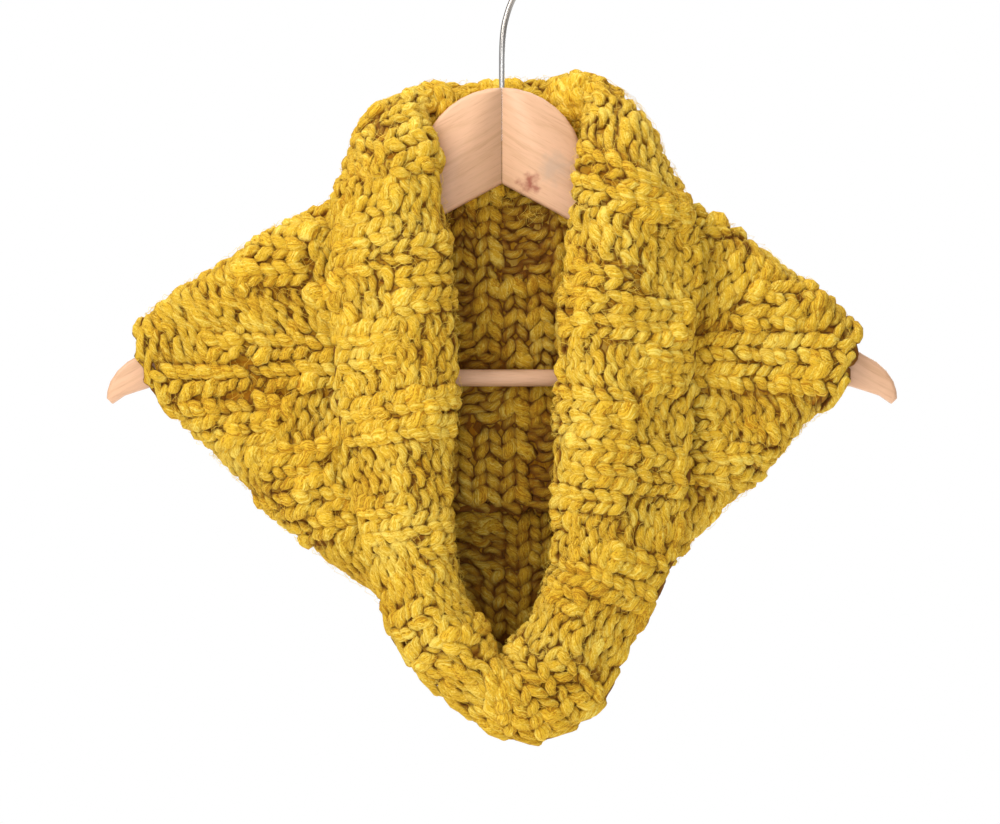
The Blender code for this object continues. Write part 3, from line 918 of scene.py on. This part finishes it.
class CowlStitches(bpy.types.Operator):
    """Knit every round of stitches as one thick-and-thin strand of wool"""

    bl_idname = "cowl.stitches"
    bl_label = "Stitches"

    def execute(self, context):
        knit = context.scene.cowl_knit
        cloth = Cloth()
        rng = np.random.default_rng(STITCH_SEED)
        surface = wool("wool", knit)
        gathered = {stretch.name: Strands() for stretch in STRETCHES}
        proudest = knit.leg_rise + knit.yarn_thickness / 2
        for row in range(ROWS):
            wale, along, depth, full = stitch_line(row, rng, knit).T
            rise = depth * knit.leg_rise
            points, faces = cloth.at(wale, along, rise + block_swell(wale, along) * knit.block_swell)
            length = length_along(points)
            radius = yarn_radius(length, rng, knit) * full
            rings, spun, out = wind(points, faces, radius, knit.twist, length + row * ROW_OFFSET)
            # painted shade: each point's wool is darker the deeper it lies inside the knit and lightest
            # where it stands proudest
            proud = rise[:, None] + out
            # painted shade: on the wrong side the wool is darkened further as it passes into the hollow
            hollow = np.clip((along - HOLLOW_FROM) / (HOLLOW_TO - HOLLOW_FROM), 0, 1)[:, None]
            tone = np.clip(np.abs(proud) / proudest, 0, 1) * (1 - HOLLOW_PAINTED_SHADE * hollow * (proud < 0))
            for stretch in STRETCHES:
                start = (stretch.first - FIRST_WALE) * SAMPLES
                end = (stretch.last - FIRST_WALE) * SAMPLES + 1
                gathered[stretch.name].add(rings[start:end], spun[start:end], tone[start:end])
        for stretch in STRETCHES:
            piece = gathered[stretch.name].piece(stretch.name, surface)
            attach(piece, "root")
            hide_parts(stretch.node)
        return {"FINISHED"}


class CowlEdges(bpy.types.Operator):
    """Work the chain along the neck edge and the chain along the hem"""

    bl_idname = "cowl.edges"
    bl_label = "Edge chains"

    def execute(self, context):
        knit = context.scene.cowl_knit
        cloth = Cloth()
        rng = np.random.default_rng(CHAIN_SEED)
        surface = wool("edge_wool", knit)
        count = WALES * CHAIN_STEPS
        wale = np.arange(count + 1) / count * WALES + FIRST_WALE
        for name, row, hollow_shade in (
            ("neck_chain", CHAIN_INSET, 0),
            ("hem_chain", ROWS - CHAIN_INSET, HOLLOW_PAINTED_SHADE),
        ):
            strands = Strands()
            for phase in (0, np.pi):
                turn = 2 * np.pi * wale / CHAIN_TURN + phase
                drift = np.resize(wander(rng, count, *CHAIN_DRIFT), count + 1)
                across = wale + CHAIN_ACROSS * np.sin(2 * turn)
                along = row + CHAIN_ALONG * np.sin(turn) + drift
                points, faces = cloth.at(across, along, CHAIN_RISE * np.cos(turn))
                length = length_along(points)
                radius = yarn_radius(length, rng, knit) * CHAIN_FULL
                radius[-1] = radius[0]
                rings, spun, out = wind(points, faces, radius, knit.twist, length)
                rings[-1] = rings[0]
                # painted shade at the sides of the chain strands and painted light where they face out
                proud = CHAIN_SHADED_SIDES + CHAIN_LIT_FACES * np.abs(out) / radius[:, None]
                # painted shade: the hem chain's wool is darker on its side that faces into the hollow
                strands.add(rings, spun, proud * (1 - hollow_shade * (out < 0)))
            piece = strands.piece(name, surface)
            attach(piece, "root")
        return {"FINISHED"}


class CowlStrays(bpy.types.Operator):
    """Raise the loose fibres that stand off the wool"""

    bl_idname = "cowl.strays"
    bl_label = "Stray fibres"

    def execute(self, context):
        knit = context.scene.cowl_knit
        cloth = Cloth()
        rng = np.random.default_rng(STRAY_SEED)
        surface = wool("stray_wool", knit, tips=True)
        steps = len(STRAY_RADII)
        angle = (np.arange(STRAY_SIDES) / STRAY_SIDES * 2 * np.pi)[:, None]
        names = ["neck_chain", "hem_chain"] + [stretch.name for stretch in STRETCHES]
        for name, side, rows, count in (
            ("strays_right_side", 1.0, ROWS, knit.strays),
            ("strays_wrong_side", -1.0, HOLLOW_TO, round(knit.strays * STRAYS_WRONG_SIDE)),
        ):
            wale = rng.uniform(0, WALES, count) + FIRST_WALE
            row = rng.uniform(0, rows, count)
            heading = rng.uniform(0, 2 * np.pi, count)
            reach = rng.uniform(*STRAY_REACH, count) * MM
            curl = rng.normal(0, STRAY_CURL, count)
            lift = rng.uniform(*STRAY_LIFT, count) * MM
            routes, ways = [], []
            for step in range(steps):
                t = step / (steps - 1)
                far = reach * t
                way = heading + curl * t
                rise = side * (STRAY_START + lift * np.sin(np.pi * min(t * 1.15, 1)))
                points, faces = cloth.at(
                    wale + far * np.cos(way) / WALE_WIDTH,
                    np.clip(row + far * np.sin(way) / ROW_HEIGHT, 0, ROWS),
                    rise + block_swell(wale, row) * knit.block_swell,
                )
                routes.append(points)
                ways.append(faces)
            routes, ways = np.array(routes), np.array(ways)
            strands = Strands()
            for index in range(count):
                along = unit(np.gradient(routes[:, index], axis=0))
                beside = unit(np.cross(along, ways[:, index]))
                out = np.cross(beside, along)
                section = np.cos(angle) * out[:, None] + np.sin(angle) * beside[:, None]
                rings = routes[:, index][:, None] + section * STRAY_RADII[:, None, None]
                strands.add(rings, np.zeros_like(rings), np.ones(steps * STRAY_SIDES))
            piece = strands.piece(name, surface)
            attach(piece, "root")
            names.append(name)
        return {"FINISHED"}


class CowlWood(bpy.types.Operator):
    """Give the hanger's arms and bar their smooth edges and their grain"""

    bl_idname = "cowl.wood"
    bl_label = "Wooden hanger"

    def execute(self, context):
        hanger = context.scene.cowl_hanger
        surface = wood("pale_wood", hanger.pale, hanger.grain, -hanger.arm_slope)
        dowel = wood("bar_wood", hanger.pale, hanger.grain, 0.0)
        for name, node, finish in (
            ("arm_left", "hanger_left", surface),
            ("arm_right", "hanger_right", surface),
            ("bar", "hanger_bar", dowel),
        ):
            select_only(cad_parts[node])
            bpy.ops.object.duplicate()
            piece = context.active_object
            piece.name = name
            piece.parent = None
            bpy.ops.object.mode_set(mode="EDIT")
            bpy.ops.mesh.select_all(action="SELECT")
            bpy.ops.mesh.remove_doubles(threshold=0.00002)
            bpy.ops.object.mode_set(mode="OBJECT")
            bpy.ops.object.shade_smooth_by_angle(angle=radians(38))
            piece.data.materials.clear()
            piece.data.materials.append(finish)
            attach(piece, "root")
            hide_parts(node)
        return {"FINISHED"}


class CowlHook(bpy.types.Operator):
    """Bend the plated wire of the hook"""

    bl_idname = "cowl.hook"
    bl_label = "Wire hook"

    def execute(self, context):
        low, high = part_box("hook")
        radius = (high.y - low.y) / 2
        centre = high.z - radius - BEND_RADIUS
        route = [(x * MM, DOME_TOP + z * MM) for x, z in WIRE_NECK]
        for step in range(BEND_STEPS + 1):
            angle = radians(BEND_START + (BEND_END - BEND_START) * step / BEND_STEPS)
            route.append((BEND_RADIUS * cos(angle), centre + BEND_RADIUS * sin(angle)))
        line = smooth_line(np.array([(x, 0.0, z) for x, z in route]))
        line = even_points(line, WIRE_STEPS)
        curve = bpy.data.curves.new("wire_hook", "CURVE")
        curve.dimensions = "3D"
        spline = curve.splines.new("POLY")
        spline.points.add(len(line) - 1)
        for place, point in zip(spline.points, line):
            place.co = (*point, 1)
        curve.bevel_depth = radius
        curve.bevel_resolution = 5
        curve.use_fill_caps = True
        piece = bpy.data.objects.new("wire_hook", curve)
        context.collection.objects.link(piece)
        select_only(piece)
        bpy.ops.object.convert(target="MESH")
        piece = context.active_object
        bpy.ops.object.shade_smooth_by_angle(angle=radians(40))
        piece.data.materials.clear()
        piece.data.materials.append(wire_chrome("chrome"))
        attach(piece, "root")
        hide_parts("hook")
        return {"FINISHED"}


class CowlStageSet(bpy.types.Operator):
    """Set the pale floor, the soft lights and the camera"""

    bl_idname = "cowl.stage"
    bl_label = "Stage"

    def execute(self, context):
        stage = context.scene.cowl_stage
        bpy.ops.object.select_all(action="DESELECT")
        bpy.ops.mesh.primitive_plane_add(size=FLOOR_SIZE, location=(0, 0, CAD_BOX[0][2] - stage.drop))
        bpy.ops.object.transform_apply(location=True)
        floor = context.active_object
        floor.name = "floor"
        made, tree, shader, node = new_surface("pale_floor")
        place = node("ShaderNodeTexCoord").outputs["Object"]
        haze = noise(node, place, 1.5).outputs["Fac"]
        plain = tuple(stage.floor)
        colour = ramp(node, haze, [(0.3, tuple(c * 0.985 for c in plain)), (0.7, plain)])
        tree.links.new(colour, shader.inputs["Base Color"])
        set_inputs(shader, {"Roughness": 0.9, "Specular IOR Level": 0.1})
        set_inputs(shader, {"Emission Color": WHITE, "Emission Strength": FLOOR_GLOW})
        floor.data.materials.append(made)

        for light in LIGHTS:
            bpy.ops.object.light_add(type="AREA", location=light.place)
            lamp = context.active_object
            lamp.name = light.name
            lamp.data.energy = stage.key_power * light.share
            lamp.data.size = light.size
            lamp.data.color = light.tint
            aim = VIEW_CENTRE - Vector(light.place)
            lamp.rotation_euler = aim.to_track_quat("-Z", "Y").to_euler()

        world = bpy.data.worlds.new("studio")
        world.use_nodes = True
        tree = world.node_tree
        around = tree.nodes["Background"]
        set_inputs(around, {"Color": WHITE, "Strength": stage.sky})
        seen = tree.nodes.new("ShaderNodeBackground")
        set_inputs(seen, {"Color": WHITE})
        both = tree.nodes.new("ShaderNodeMixShader")
        path = tree.nodes.new("ShaderNodeLightPath")
        tree.links.new(path.outputs["Is Camera Ray"], both.inputs[0])
        tree.links.new(around.outputs[0], both.inputs[1])
        tree.links.new(seen.outputs[0], both.inputs[2])
        tree.links.new(both.outputs[0], tree.nodes["World Output"].inputs["Surface"])
        context.scene.world = world
        context.scene.view_settings.view_transform = "Standard"

        place = VIEW_CENTRE - Vector((0, stage.distance, 0))
        bpy.ops.object.camera_add(location=place, rotation=(pi / 2, 0, 0))
        camera = context.active_object
        camera.data.sensor_fit = "HORIZONTAL"
        camera.data.angle = 2 * atan(stage.view_width / 2 / stage.distance)
        camera.data.clip_end = 50
        context.scene.camera = camera
        return {"FINISHED"}


OPERATORS = (CowlGround, CowlStitches, CowlEdges, CowlStrays, CowlWood, CowlHook, CowlStageSet)
GROUPS = (("cowl_knit", CowlKnit), ("cowl_hanger", CowlHanger), ("cowl_stage", CowlStage))


class CowlPanel(bpy.types.Panel):
    """Lists the cowl's steps and the sizes and colours that they read"""

    bl_idname = "VIEW3D_PT_cowl"
    bl_label = "Knitted cowl"
    bl_space_type = "VIEW_3D"
    bl_region_type = "UI"
    bl_category = "Cowl"

    def draw(self, context):
        for name, group in GROUPS:
            box = self.layout.box()
            for prop in group.__annotations__:
                box.prop(getattr(context.scene, name), prop)
        for operator in OPERATORS:
            self.layout.operator(operator.bl_idname)


CLASSES = tuple(group for _, group in GROUPS) + OPERATORS + (CowlPanel,)


def register():
    for item in CLASSES:
        bpy.utils.register_class(item)
    for name, group in GROUPS:
        setattr(bpy.types.Scene, name, PointerProperty(type=group))


def unregister():
    for name, _ in GROUPS:
        delattr(bpy.types.Scene, name)
    for item in reversed(CLASSES):
        bpy.utils.unregister_class(item)


def main():
    register()
    for step in (
        bpy.ops.cowl.ground,
        bpy.ops.cowl.stitches,
        bpy.ops.cowl.edges,
        bpy.ops.cowl.strays,
        bpy.ops.cowl.wood,
        bpy.ops.cowl.hook,
        bpy.ops.cowl.stage,
    ):
        step()


if __name__ == "__main__":
    main()
